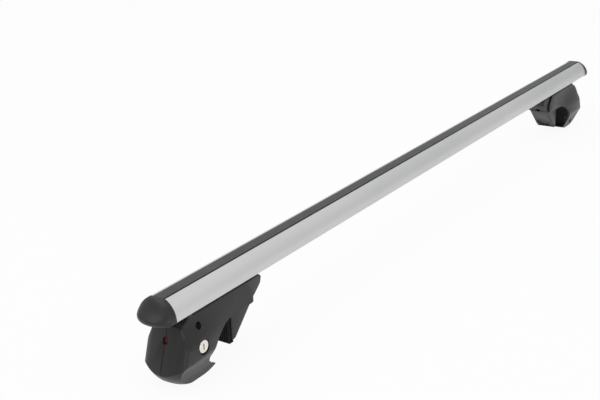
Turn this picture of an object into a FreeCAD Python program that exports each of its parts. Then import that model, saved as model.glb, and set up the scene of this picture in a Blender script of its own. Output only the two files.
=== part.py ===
import FreeCAD, Part
import math
import os

# Roof rack crossbar on two lockable feet for raised roof rails, in millimetres.
# X runs along the bar, Y across it, Z up. The origin lies under the middle of the bar,
# in the plane that the two hooks stand on.

V = FreeCAD.Vector

# Bar profile
bar_length = 1200.0
bar_width = 46.6
bar_height = 25.5
bar_top_width = 20.4
bar_side_bulge = 3.4
bar_corner_radius = 3.5
bar_wall = 1.8
web_thickness = 2.2

# Strip groove and T-slot in the top of the bar
strip_width = 16.0
strip_side_gap = 0.3
strip_seat_depth = 1.4
strip_rise = 0.8
strip_leg_thickness = 1.8
strip_leg_depth = 4.6
strip_barb = 1.1
top_mouth = 10.0
top_lip = 1.9
top_slot_width = 18.0
top_slot_depth = 7.6

# Clamping channel in the underside of the bar
low_mouth = 9.0
low_lip = 2.0
low_slot_width = 17.0
low_slot_depth = 6.2

# End caps
cap_length = 22.0
cap_rim = 0.5
cap_rim_length = 1.6
cap_plug_depth = 14.0
cap_plug_gap = 0.3
# Front of a cap: level as a share of the bar's height, reach as a share of the cap's length,
# and how much wider than half the bar it is there
cap_front_shape = [
    (-0.12, 0.64, 1.7),
    (0.0, 0.83, 2.3),
    (0.08, 0.95, 2.9),
    (0.18, 1.0, 3.1),
    (0.32, 0.975, 3.0),
    (0.49, 0.87, 1.9),
    (0.7, 0.66, -1.1),
    (0.88, 0.43, -6.0),
    (1.0, 0.26, -11.0),
    (1.1, 0.14, -15.0),
]

# Places of the two feet: distance of each rail line from its end of the bar
left_end_distance = 79.0
right_end_distance = 109.0

# Foot outline, from the rail line outboard and from the underside of the bar down
foot_height = 83.0
arm_reach = 57.0
arm_depth = 31.5
arm_half_width = 20.0
arm_end_slope = 14.0
nose_top_reach = 66.0
nose_reach = 86.0
nose_low_lift = 23.0
nose_slant_back = 15.0
nose_slant_drop = 11.0
chin_reach = 81.0
chin_lift = 9.0
chin_bulge = 0.6
chin_centre_reach = 50.0
chin_centre_drop = 44.0
chin_round = 43.0
toe_reach = 52.0
heel_reach = 37.0
hook_tip_reach = 15.5
hook_tip_lift = 5.0
throat_depth = 31.0
throat_lift = 21.0
throat_start = 8.0
body_half_width = 30.0
full_width_reach = 44.0
boss_step = 1.6
boss_reach = 69.0
# Flanks: drop as a share of the foot's height, what is added to the body's and to the arm's half
# width there, and the share of the boss's step by which the nose beside it differs
flank_shape = [
    (-0.024, -12.4, -1.0, -1.0),
    (0.20, -7.8, 0.0, -1.0),
    (0.34, -3.1, 0.5, -0.75),
    (0.43, -0.7, 1.0, -0.2),
    (0.53, 0.0, 1.5, 0.6),
    (0.62, 0.0, 1.5, 1.0),
    (0.72, -4.4, 1.0, 1.0),
    (0.80, -7.5, 0.5, 1.0),
    (0.88, -10.2, -1.0, 1.0),
    (0.97, -12.2, -2.2, 1.0),
    (1.07, -14.0, -4.0, 1.0),
]
# Edge of the boss: distance inboard of its farthest reach, and drop below the bar
boss_edge_shape = [
    (8.5, 4.5),
    (4.0, 8.5),
    (0.5, 13.5),
    (0.0, 20.0),
    (2.5, 29.5),
    (7.5, 40.5),
    (14.0, 51.0),
]
# Shoulder of the nose: distance back from its flat end, and what is added to the body's half width
nose_shoulder_shape = [
    (0.0, -11.5),
    (2.2, -5.5),
    (6.0, -1.3),
    (12.0, -0.5),
    (24.0, 0.2),
    (38.0, 1.0),
]
seam_width = 0.7
seam_depth = 0.8
shell_deck = 3.0

# Saddle pad, steel bracket and its fixing to the channel
pad_thickness = 1.5
saddle_half_width = 17.5
saddle_end_inset = 6.0
bracket_thickness = 3.0
bracket_start = 0.0
bracket_reach = 36.0
bracket_half_width = 12.0
flange_half_width = 8.0
flange_below_bolt = 6.5
piece_gap = 0.3
slot_plate_thickness = 3.5
slot_plate_end_margin = 6.0
slot_plate_side_gap = 0.3
slot_screw_radius = 3.0
slot_screw_head_radius = 5.2
slot_screw_head_height = 3.6
slot_screw_first = 9.0
slot_screw_pitch = 17.0

# Tightening bolt, washer and square nut
bolt_drop = 27.5
bolt_radius = 3.0
bolt_length = 90.0
bolt_head_radius = 5.0
bolt_head_height = 6.0
hex_socket = 5.0
hex_socket_depth = 3.4
washer_radius = 6.2
washer_thickness = 1.6
bolt_hole_gap = 0.25
nut_width = 10.0
nut_thickness = 5.0
nut_place = -35.5
nut_thread_gap = 0.05
access_hole_radius = 3.9
access_rim = 0.9

# Sliding jaw and its rubber pad
jaw_half_width = 17.0
jaw_side_gap = 0.3
jaw_face = -18.0
jaw_tip_overhang = 21.0
jaw_lift = 16.5
jaw_toe = 7.0
jaw_tip_height = 21.0
jaw_travel_out = 14.0
jaw_scoop_radius = 12.0
jaw_scoop_depth = 2.0
jaw_pad_half_width = 15.0
jaw_pad_thickness = 3.0
jaw_pad_top = 37.0
jaw_lip_thickness = 2.0
jaw_lip_length = 3.0
rib_height = 1.2
rib_width = 1.6
rib_pitch = 3.2

# Hook liner
liner_thickness = 3.0
liner_half_width = 15.5
liner_side_gap = 0.2

# Lock and shutter
lock_reach = 45.8
lock_drop = 40.2
lock_plug_radius = 7.5
lock_housing_wall = 1.9
lock_running_gap = 0.05
lock_recess = 0.6
lock_inner_end = 8.8
lock_bore_gap = 0.4
lock_front_wall = 3.5
lock_rim_width = 1.4
lock_rim_depth = 1.8
keyway_width = 1.5
keyway_length = 7.0
keyway_depth = 5.0
cam_thickness = 2.5
cam_arm = 6.7
cam_pin_radius = 1.8
cam_pin_length = 3.0
cam_pin_gap = 0.35
shutter_thickness = 2.5
shutter_half_width = 6.0
shutter_half_length = 6.2
shutter_wall = 2.6
shutter_travel = 9.5
shutter_arm_height = 8.0
pocket_half_width = 8.8

# Shell screws
shell_screw_radius = 2.0
shell_screw_head_radius = 3.6
shell_screw_head_height = 2.6
shell_screw_recess_radius = 4.3
shell_screw_gap = 0.05
upper_screw_reach = 44.5
upper_screw_drop = 17.0
upper_screw_seat = 15.0
lower_screw_reach = 50.0
lower_screw_lift = 9.0
lower_screw_seat = 9.0
screw_thread_depth = 11.0

# Length of the tools that cut right through a piece, past everything it could meet
beyond_all = 300.0

# Levels that follow from the sizes above
nose_low_drop = foot_height - nose_low_lift
throat_drop = foot_height - throat_lift
jaw_drop = foot_height - jaw_lift
jaw_tip_reach = arm_reach + jaw_tip_overhang
lower_screw_drop = foot_height - lower_screw_lift

# Slope of the end face behind which the shutter runs, and the middle of its access hole
nose_lean = (nose_reach - nose_top_reach) / (nose_low_drop - pad_thickness)
nose_slope = math.atan(nose_lean)
HOLE = V(nose_top_reach + nose_lean * (bolt_drop - pad_thickness), 0, -bolt_drop)
DOWN_NOSE = V(math.sin(nose_slope), 0, -math.cos(nose_slope))
OUT_NOSE = V(math.cos(nose_slope), 0, math.sin(nose_slope))
ACROSS = V(0, 1, 0)


def box(x0, x1, y0, y1, z0, z1):
    """Block between two corners."""
    return Part.makeBox(x1 - x0, y1 - y0, z1 - z0, V(x0, y0, z0))


def rod(radius, start, direction, length):
    """Round bar from a start point."""
    return Part.makeCylinder(radius, length, start, direction)


def polygon(points):
    """Closed flat face through points."""
    return Part.Face(Part.makePolygon(points + [points[0]]))


def side_prism(face, half_width):
    """Face in the XZ plane, extruded by the same amount to both sides of the middle."""
    solid = face.extrude(V(0, 2 * half_width, 0))
    solid.translate(V(0, -half_width, 0))
    return solid


def fuse(shapes):
    """One solid out of touching or overlapping ones."""
    joined = shapes[0].fuse(shapes[1:])
    return joined.removeSplitter()


# Bar


def bar_outline():
    """Wire of the bar's outside in the YZ plane: flat bottom, bulging sides, flat top."""
    half = bar_width / 2
    top = bar_top_width / 2
    radius = bar_corner_radius
    low = V(0, half, radius + 1.0)
    high = V(0, top, bar_height)
    chord = high - low
    normal = V(0, chord.z, -chord.y).normalize()
    middle = (low + high) * 0.5 + normal * bar_side_bulge
    foot = V(0, half - radius, 0)
    corner = V(0, half - radius * (1 - math.sqrt(0.5)), radius * (1 - math.sqrt(0.5)))
    right = [Part.Arc(foot, corner, low).toShape(), Part.Arc(low, middle, high).toShape()]
    left = [edge.mirror(V(0, 0, 0), V(0, 1, 0)) for edge in right]
    bottom = Part.makeLine(V(0, -foot.y, 0), foot)
    lid = Part.makeLine(high, V(0, -top, bar_height))
    return Part.Wire(Part.__sortEdges__([bottom] + right + [lid] + left))


def across_rectangle(half_width, z0, z1):
    """Rectangle in the YZ plane, centred on the middle."""
    return polygon([V(0, -half_width, z0), V(0, half_width, z0),
                    V(0, half_width, z1), V(0, -half_width, z1)])


top_slot_roof = bar_height - strip_seat_depth - top_lip
top_slot_floor = top_slot_roof - top_slot_depth
low_slot_roof = low_lip + low_slot_depth


def bar_chambers():
    """The two hollow chambers beside the slots, as faces in the YZ plane."""
    inside = Part.Face(bar_outline()).makeOffset2D(-bar_wall)
    upper = across_rectangle(top_slot_width / 2 + bar_wall, top_slot_floor - bar_wall, bar_height)
    lower = across_rectangle(low_slot_width / 2 + bar_wall, -bar_wall, low_slot_roof + bar_wall)
    web = across_rectangle(web_thickness / 2, 0, bar_height)
    return inside.cut([upper, lower, web])


def bar_extrusion():
    """Hollow profile with a strip groove and T-slot above and a clamping channel below."""
    seat = across_rectangle(strip_width / 2 + strip_side_gap, bar_height - strip_seat_depth, bar_height + 1)
    mouth = across_rectangle(top_mouth / 2, top_slot_roof, bar_height)
    slot = across_rectangle(top_slot_width / 2, top_slot_floor, top_slot_roof)
    low_opening = across_rectangle(low_mouth / 2, -1, low_lip)
    low_slot = across_rectangle(low_slot_width / 2, low_lip, low_slot_roof)
    section = Part.Face(bar_outline()).cut([seat, mouth, slot, low_opening, low_slot, bar_chambers()])
    bar = section.extrude(V(bar_length, 0, 0))
    bar.translate(V(-bar_length / 2, 0, 0))
    return bar


def top_strip():
    """Rubber strip: a band over the groove and two barbed legs through the slot's mouth."""
    seat = bar_height - strip_seat_depth
    leg_out = top_mouth / 2 - strip_side_gap
    leg_in = leg_out - strip_leg_thickness
    barb_top = top_slot_roof - 0.1
    leg_end = seat - strip_leg_depth
    crown = bar_height + strip_rise
    edge_round = strip_rise
    half = strip_width / 2
    right = [
        V(0, half, seat), V(0, leg_out, seat), V(0, leg_out, barb_top),
        V(0, leg_out + strip_barb, barb_top), V(0, leg_out, leg_end), V(0, leg_in, leg_end),
        V(0, leg_in, seat),
    ]
    left = [V(0, -p.y, p.z) for p in reversed(right)]
    crown_points = [
        V(0, -half, crown - edge_round), V(0, -half + edge_round, crown),
        V(0, half - edge_round, crown), V(0, half, crown - edge_round),
    ]
    strip = polygon(right + left + crown_points).extrude(V(bar_length, 0, 0))
    strip.translate(V(-bar_length / 2, 0, 0))
    return strip


def cap_front():
    """Rounded front of a cap as a loft of level ellipses, leaning back from its lower third up."""
    rings = []
    for share, reach_share, wider in cap_front_shape:
        width = bar_width / 2 + wider
        reach = reach_share * cap_length
        ellipse = Part.Ellipse(V(0, 0, 0), max(width, reach), min(width, reach))
        ring = Part.Wire([ellipse.toShape()])
        if width > reach:
            ring.rotate(V(0, 0, 0), V(0, 0, 1), 90)
        ring.translate(V(0, 0, share * bar_height))
        rings.append(ring)
    return Part.makeLoft(rings, True, False)


def end_cap():
    """Domed cap for the +X end, with plugs that fill the two chambers' mouths."""
    outline = Part.Face(bar_outline())
    rim = outline.makeOffset2D(cap_rim)
    block = rim.extrude(V(cap_length, 0, 0))
    head = block.common(cap_front())
    band = rim.extrude(V(cap_rim_length, 0, 0))
    cap = fuse([head, band])
    for chamber in bar_chambers().makeOffset2D(-cap_plug_gap).Faces:
        plug = chamber.extrude(V(-cap_plug_depth, 0, 0))
        cap = cap.fuse(plug)
    cap = cap.removeSplitter()
    cap.translate(V(bar_length / 2, 0, 0))
    return cap


# Foot. It is drawn with the rail line at X = 0, outboard along +X, the underside of the
# bar at Z = 0 and the lock on the +Y side.

top_of_shell = -pad_thickness
deck_underside = top_of_shell - shell_deck


def throat_edges(offset):
    """Curve of the throat from the arm's underside to the hook's tip, moved into the body."""
    start = V(-throat_start, 0, -arm_depth + offset)
    slope = V(throat_depth * 0.42, 0, -(arm_depth + throat_drop) * 0.43)
    slope = slope + V(1, 0, 1).normalize() * offset
    apex = V(throat_depth + offset, 0, -throat_drop)
    turn_point = V(throat_depth * 0.9 + offset * 0.8, 0, -throat_drop - 9 - offset * 0.5)
    tip = V(hook_tip_reach, 0, -foot_height + hook_tip_lift - offset)
    upper = Part.Arc(start, slope, apex).toShape()
    lower = Part.Arc(apex, turn_point, tip).toShape()
    return upper, lower


def throat_face(offset):
    """Open space of the throat as a face, reaching past the foot below and inboard."""
    upper, lower = throat_edges(offset)
    start = upper.Vertexes[0].Point
    tip = lower.Vertexes[-1].Point
    below = -foot_height - 10
    far = -arm_reach - 10
    rest = Part.makePolygon([tip, V(tip.x, 0, below), V(far, 0, below), V(far, 0, start.z), start])
    return Part.Face(Part.Wire([upper, lower] + rest.Edges))


def nose_line(drop):
    """Distance of the leaning end face from the rail line at a drop below the bar."""
    return nose_top_reach + nose_lean * (drop - pad_thickness)


def spline(points):
    """Smooth edge through points."""
    curve = Part.BSplineCurve()
    curve.interpolate(points)
    return curve.toShape()


def level_arc(level, end):
    """Arc that leaves a point of the sole level and rises to another point."""
    across = end.x - level.x
    rise = end.z - level.z
    radius = (across * across + rise * rise) / (2 * rise)
    half_turn = math.asin(across / radius) / 2
    middle = level + V(radius * math.sin(half_turn), 0, radius * (1 - math.cos(half_turn)))
    return Part.Arc(level, middle, end).toShape()


def foot_side_face(beyond=0.0):
    """Side outline of the foot without its throat: arm, slanted top corner, nose, rounded heel."""
    slant_top = V(nose_top_reach - nose_slant_back, 0, top_of_shell)
    slant_low = V(nose_line(nose_slant_drop) + beyond, 0, -nose_slant_drop)
    nose_low = V(nose_reach + beyond, 0, -nose_low_drop)
    under_nose = V(nose_reach + chin_bulge + beyond, 0, -(nose_low_drop + foot_height - chin_lift) / 2 + 1)
    chin = V(chin_reach, 0, -foot_height + chin_lift)
    toe = V(toe_reach, 0, -foot_height)
    heel = V(heel_reach, 0, -foot_height)
    tip = V(hook_tip_reach, 0, -foot_height + hook_tip_lift)
    arm_top = V(-arm_reach + arm_end_slope, 0, top_of_shell)
    arm_end = V(-arm_reach, 0, -arm_end_slope - 3)
    below = V(-arm_reach, 0, tip.z)
    outline = [
        Part.makeLine(arm_top, slant_top),
        Part.makeLine(slant_top, slant_low),
        Part.makeLine(slant_low, nose_low),
        Part.Arc(nose_low, under_nose, chin).toShape(),
        level_arc(toe, chin),
        Part.makeLine(toe, heel),
        level_arc(heel, tip),
    ]
    arm = Part.makePolygon([tip, below, arm_end, arm_top]).Edges
    return Part.Face(Part.Wire(Part.__sortEdges__(outline + arm)))


def flank_section(x, fullness, step=0.0):
    """Closed section across the foot, from the plain arm (fullness 0) to the full body (1)."""
    places = []
    for share, body_added, arm_added, step_share in flank_shape:
        body = body_half_width + body_added + step * step_share
        arm = arm_half_width + arm_added
        places.append((arm + (body - arm) * fullness, -share * foot_height))
    right = spline([V(x, y, z) for y, z in places])
    left = right.mirror(V(0, 0, 0), V(0, 1, 0))
    top_half, top = places[0]
    low_half, low = places[-1]
    lid = Part.makeLine(V(x, -top_half, top), V(x, top_half, top))
    base = Part.makeLine(V(x, low_half, low), V(x, -low_half, low))
    return Part.Wire([lid, right, base, left])


def body_loft():
    """Arm and helmet-shaped body in one form, widest at the lock and drawn in towards the hook."""
    stations = [
        (-arm_reach - 1, 0.0),
        (-arm_reach / 2, 0.08),
        (0.0, 0.38),
        (full_width_reach / 2, 0.75),
        (full_width_reach, 1.0),
        (nose_top_reach, 1.0),
        (nose_reach + 9, 1.0),
    ]
    return Part.makeLoft([flank_section(x, fullness) for x, fullness in stations], True, False)


def nose_profile():
    """Narrower section of the nose, drawn out along the bar, which leaves the raised boss beside it."""
    section = Part.Face(flank_section(0, 1.0, boss_step))
    profile = section.extrude(V(arm_reach + nose_reach + 20, 0, 0))
    profile.translate(V(-arm_reach - 10, 0, 0))
    return profile


def boss_prism():
    """Everything inboard of the raised boss's rounded outboard edge, from side to side."""
    above = V(nose_top_reach - nose_slant_back + 2, 0, top_of_shell + 2)
    edge = spline([above] + [V(boss_reach - back, 0, -drop) for back, drop in boss_edge_shape])
    first = edge.Vertexes[0].Point
    last = edge.Vertexes[-1].Point
    far = -arm_reach - 10
    rest = Part.makePolygon([last, V(far, 0, last.z), V(far, 0, first.z), first])
    return side_prism(Part.Face(Part.Wire([edge] + rest.Edges)), body_half_width + 5)


def nose_form():
    """Leaning column with a flat end band that turns over rounded shoulders into the flanks."""
    level = 4.0
    reach = nose_line(-level)
    right = spline([V(reach - back, body_half_width + added, level) for back, added in nose_shoulder_shape])
    left = right.mirror(V(0, 0, 0), V(0, 1, 0))
    front = right.Vertexes[0].Point
    end = Part.makeLine(V(front.x, -front.y, level), front)
    corner = right.Vertexes[-1].Point
    far = -2 * arm_reach
    rest = Part.makePolygon([corner, V(far, corner.y, level), V(far, -corner.y, level),
                             V(corner.x, -corner.y, level)])
    plan = Part.Face(Part.Wire([end, right] + rest.Edges + [left]))
    return plan.extrude(V(nose_lean, 0, -1) * (foot_height + 2 * level))


def chin_corners():
    """What a large ball leaves of the nose's lower outboard quarter, to be cut away."""
    ball = Part.makeSphere(chin_round, V(chin_centre_reach, 0, -chin_centre_drop))
    beside = chin_round + 2
    quarter = box(chin_centre_reach, nose_reach + 10, -beside, beside, -foot_height - 10, -chin_centre_drop)
    return quarter.cut(ball)


def foot_body():
    """Outer form of both shells together, before anything is hollowed out."""
    outline = foot_side_face(1.0).cut(throat_face(0))
    prism = side_prism(outline, body_half_width + 5)
    whole = prism.common(body_loft().common(nose_form())).cut(chin_corners())
    nose = whole.common(nose_profile())
    boss = whole.common(boss_prism())
    return nose.fuse(boss)


def seam_groove():
    """Fine groove all round the joint between the two shells."""
    outline = foot_side_face().cut(throat_face(0)).Faces[0]
    inner = outline.makeOffset2D(-seam_depth)
    return side_prism(outline.cut(inner), seam_width / 2)


def nose_point(along, down, y=0.0):
    """Point given by distances out along the nose normal and down the nose from the lock's axis."""
    return V(lock_reach, y, -lock_drop) + OUT_NOSE * along + DOWN_NOSE * down


nose_out = (HOLE - V(lock_reach, 0, -lock_drop)).dot(OUT_NOSE)
hole_down = (HOLE - V(lock_reach, 0, -lock_drop)).dot(DOWN_NOSE)
shutter_out = nose_out - shutter_wall
shutter_in = shutter_out - shutter_thickness
pin_down = -cam_arm * math.sin(math.pi / 4)


def shutter_outline(grow):
    """Shutter plate and arm in the XZ plane, grown by a gap all round."""
    top = hole_down - shutter_half_length - grow
    low = hole_down + shutter_half_length + grow
    arm_top = pin_down - shutter_arm_height / 2 - grow
    arm_low = pin_down + shutter_arm_height / 2 + grow
    arm_end = cam_arm * math.sqrt(0.5) - 3.6 - grow
    plate_in = shutter_in - grow
    plate_out = shutter_out + grow
    places = [
        (plate_out, top), (plate_out, low), (plate_in, low), (plate_in, arm_low),
        (arm_end, arm_low), (arm_end, arm_top), (plate_in, arm_top), (plate_in, top),
    ]
    return [nose_point(a, d) for a, d in places]


def mechanism_pocket():
    """Room inside the shells for the shutter's travel, the cam and the bolt's head."""
    gap = piece_gap
    plate_room = polygon([
        nose_point(shutter_in - gap, hole_down - shutter_half_length - gap),
        nose_point(shutter_out + gap, hole_down - shutter_half_length - gap),
        nose_point(shutter_out + gap, hole_down + shutter_half_length + shutter_travel + gap),
        nose_point(shutter_in - gap, hole_down + shutter_half_length + shutter_travel + gap),
    ])
    reach = cam_arm + cam_pin_radius + 2
    back = bracket_reach - bracket_thickness
    inner = polygon([
        V(back, 0, -bolt_drop + washer_radius + 1),
        V(nose_top_reach - 1, 0, -bolt_drop + washer_radius + 1),
        nose_point(shutter_in, hole_down - shutter_half_length - gap),
        nose_point(shutter_in, hole_down + shutter_half_length + shutter_travel),
        V(lock_reach + 6, 0, -lock_drop - reach - 1),
        V(lock_reach - reach, 0, -lock_drop - reach - 1),
        V(lock_reach - reach, 0, -bolt_drop - flange_below_bolt),
        V(back, 0, -bolt_drop - flange_below_bolt),
    ])
    plate = side_prism(plate_room, shutter_half_width + gap)
    return plate, side_prism(inner, pocket_half_width)


def shell_cutters():
    """Every hollow in the two shells, from the same sizes as the pieces that go in."""
    gap = piece_gap
    channel_half = jaw_half_width + jaw_side_gap
    channel_end = jaw_face + jaw_travel_out + 1
    channel = box(-arm_reach - 5, channel_end, -channel_half, channel_half, -arm_depth - 5, deck_underside)
    plate = box(bracket_start - gap, bracket_reach + gap, -bracket_half_width - gap,
                bracket_half_width + gap, top_of_shell - bracket_thickness, top_of_shell + 1)
    flange = box(bracket_reach - bracket_thickness, bracket_reach, -flange_half_width - gap,
                 flange_half_width + gap, -bolt_drop - flange_below_bolt - gap, top_of_shell)
    heads = [
        rod(slot_screw_head_radius + gap, V(x, 0, top_of_shell - bracket_thickness), V(0, 0, -1),
            slot_screw_head_height + 1)
        for x in slot_screw_places()
    ]
    bolt = rod(bolt_radius + 2 * bolt_hole_gap, V(channel_end - 1, 0, -bolt_drop), V(1, 0, 0),
               bracket_reach - channel_end)
    hole = rod(access_hole_radius, V(nose_top_reach - 6, 0, -bolt_drop), V(1, 0, 0), beyond_all)
    rim_start = nose_point(nose_out - access_rim, hole_down)
    rim = Part.makeCone(access_hole_radius, access_hole_radius + 3 * access_rim, 3 * access_rim,
                        rim_start, OUT_NOSE)
    plate_room, inner_room = mechanism_pocket()
    liner_room = side_prism(throat_face(liner_thickness), liner_half_width + liner_side_gap)
    lock_start = V(lock_reach, lock_inner_end - 1, -lock_drop)
    lock_bore = rod(lock_housing_radius(), lock_start, ACROSS, housing_end() - lock_start.y)
    lock_front = rod(lock_plug_radius + lock_bore_gap, lock_start, ACROSS, beyond_all)
    lock_rim = rod(lock_plug_radius + lock_bore_gap + lock_rim_width,
                   V(lock_reach, body_half_width - lock_rim_depth, -lock_drop), ACROSS, beyond_all)
    return [channel, plate, flange, bolt, hole, rim, plate_room, inner_room, liner_room,
            lock_bore, lock_front, lock_rim, seam_groove()] + heads + screw_cutters()


def shell_screw_lines():
    """Seat point, outward direction for each screw that holds the shells together."""
    upper = V(upper_screw_reach, upper_screw_seat, -upper_screw_drop)
    lower = V(lower_screw_reach, -lower_screw_seat, -lower_screw_drop)
    return [(upper, ACROSS), (lower, ACROSS * -1)]


def screw_cutters():
    """Recess, through hole and thread hole of each shell screw."""
    cutters = []
    for seat, outward in shell_screw_lines():
        cutters.append(rod(shell_screw_recess_radius, seat, outward, beyond_all))
        reach = abs(seat.y) + screw_thread_depth
        cutters.append(rod(shell_screw_radius + shell_screw_gap, seat, outward * -1, reach))
    return cutters


def half_space(side):
    """Large block on one side of the middle plane, side being 1 or -1."""
    deep = beyond_all * side
    return box(-beyond_all, beyond_all, min(0, deep), max(0, deep), -beyond_all, beyond_all)


def foot_shells():
    """Lock-side and plain-side half of the foot's moulded housing."""
    body = foot_body()
    for cutter in shell_cutters():
        body = body.cut(cutter)
    lock_half = largest(body.common(half_space(1)))
    plain_half = largest(body.common(half_space(-1)))
    return lock_half, plain_half


def largest(shape):
    """The biggest solid of a cut."""
    return max(shape.Solids, key=lambda solid: solid.Volume)


def ribbed(solid, groove, half_width):
    """Cuts even grooves into a rubber face, leaving ribs at the set pitch."""
    count = int((2 * half_width - rib_width) / rib_pitch)
    first = -count * rib_pitch / 2
    cutters = []
    for index in range(count):
        centre = first + rib_pitch * (index + 0.5)
        cutter = groove.copy()
        cutter.translate(V(0, centre, 0))
        cutters.append(cutter)
    return solid.cut(cutters)


def hook_liner():
    """Rubber lining of the throat with ribs that follow its curve."""
    outer = throat_face(liner_thickness)
    strip = side_prism(outer.cut(throat_face(0)), liner_half_width)
    strip = strip.common(side_prism(foot_side_face(), liner_half_width + 1))
    trim = jaw_face + jaw_travel_out + jaw_pad_thickness + piece_gap
    below_bolt = -bolt_drop - bolt_radius - piece_gap
    strip = strip.common(box(trim, nose_reach, -liner_half_width, liner_half_width,
                             -foot_height, below_bolt))
    groove = side_prism(throat_face(rib_height), (rib_pitch - rib_width) / 2)
    return largest(ribbed(strip, groove, liner_half_width))


def saddle_pad():
    """Thin rubber pad between the shells and the bar."""
    pad = box(-arm_reach + arm_end_slope + saddle_end_inset,
              nose_top_reach - nose_slant_back - saddle_end_inset,
              -saddle_half_width, saddle_half_width, top_of_shell, 0)
    holes = [rod(slot_screw_radius + piece_gap, V(x, 0, -5), V(0, 0, 1), 10) for x in slot_screw_places()]
    return pad.cut(holes)


def slot_screw_places():
    """Places along the foot of the two screws into the bar's channel."""
    return [slot_screw_first, slot_screw_first + slot_screw_pitch]


def bracket():
    """Steel angle: a plate under the bar and a flange that the tightening bolt pulls on."""
    low = top_of_shell - bracket_thickness
    plate = box(bracket_start, bracket_reach, -bracket_half_width, bracket_half_width, low, top_of_shell)
    flange = box(bracket_reach - bracket_thickness, bracket_reach, -flange_half_width, flange_half_width,
                 -bolt_drop - flange_below_bolt, low)
    angle = fuse([plate, flange])
    bend = [edge for edge in angle.Edges if is_bend_edge(edge)]
    angle = angle.makeFillet(bracket_thickness * 0.6, bend)
    holes = [rod(slot_screw_radius + piece_gap, V(x, 0, low - 1), V(0, 0, 1), bracket_thickness + 2)
             for x in slot_screw_places()]
    bolt = rod(bolt_radius + bolt_hole_gap, V(bracket_reach - bracket_thickness - 1, 0, -bolt_drop),
               V(1, 0, 0), bracket_thickness + 2)
    return angle.cut(holes + [bolt])


def is_bend_edge(edge):
    """True for the outer edge of the bracket's bend."""
    middle = edge.valueAt((edge.FirstParameter + edge.LastParameter) / 2)
    return abs(middle.x - bracket_reach) < 0.01 and abs(middle.z - top_of_shell) < 0.01


def slot_plate():
    """Threaded plate that slides in the bar's lower channel."""
    places = slot_screw_places()
    half = low_slot_width / 2 - slot_plate_side_gap
    plate = box(places[0] - slot_plate_end_margin, places[-1] + slot_plate_end_margin,
                -half, half, low_lip, low_lip + slot_plate_thickness)
    return plate.cut([rod(slot_screw_radius, V(x, 0, 0), V(0, 0, 1), 20) for x in places])


def slot_screws():
    """The two hexagon socket screws that clamp the bracket to the channel."""
    seat = top_of_shell - bracket_thickness
    screws = []
    for x in slot_screw_places():
        shank = rod(slot_screw_radius, V(x, 0, seat), V(0, 0, 1), low_lip + slot_plate_thickness - seat)
        head = rod(slot_screw_head_radius, V(x, 0, seat - slot_screw_head_height), V(0, 0, 1),
                   slot_screw_head_height)
        socket = hexagon_prism(4.0, V(x, 0, seat - slot_screw_head_height), V(0, 0, 1), 2.2)
        screws.append(fuse([shank, head]).cut(socket))
    return Part.makeCompound(screws)


def hexagon_prism(across_flats, start, direction, length):
    """Six-sided prism, for sockets."""
    radius = across_flats / math.sqrt(3)
    points = [V(radius * math.cos(math.radians(a)), radius * math.sin(math.radians(a)), 0)
              for a in range(0, 360, 60)]
    prism = polygon(points).extrude(V(0, 0, length))
    prism.Placement = FreeCAD.Placement(start, FreeCAD.Rotation(V(0, 0, 1), direction))
    return prism


def clamp_bolt():
    """Socket-head bolt that draws the jaw towards the hook."""
    seat = bracket_reach + washer_thickness
    shank = rod(bolt_radius, V(seat - bolt_length, 0, -bolt_drop), V(1, 0, 0), bolt_length)
    head = rod(bolt_head_radius, V(seat, 0, -bolt_drop), V(1, 0, 0), bolt_head_height)
    top = seat + bolt_head_height
    socket = hexagon_prism(hex_socket, V(top, 0, -bolt_drop), V(-1, 0, 0), hex_socket_depth)
    bolt = fuse([shank, head]).cut(socket)
    rims = [edge for edge in bolt.Edges if is_head_rim(edge, top)]
    return bolt.makeChamfer(0.5, rims)


def is_head_rim(edge, top):
    """True for the round outer edge of the bolt's head and of the shank's end."""
    round_edge = isinstance(edge.Curve, Part.Circle)
    on_head = abs(edge.BoundBox.Center.x - top) < 0.01
    on_tip = abs(edge.BoundBox.Center.x - (bracket_reach + washer_thickness - bolt_length)) < 0.01
    return round_edge and (on_head or on_tip)


def washer():
    """Plain washer under the bolt's head."""
    disc = rod(washer_radius, V(bracket_reach, 0, -bolt_drop), V(1, 0, 0), washer_thickness)
    return disc.cut(rod(bolt_radius + bolt_hole_gap, V(bracket_reach - 1, 0, -bolt_drop), V(1, 0, 0), 5))


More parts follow.
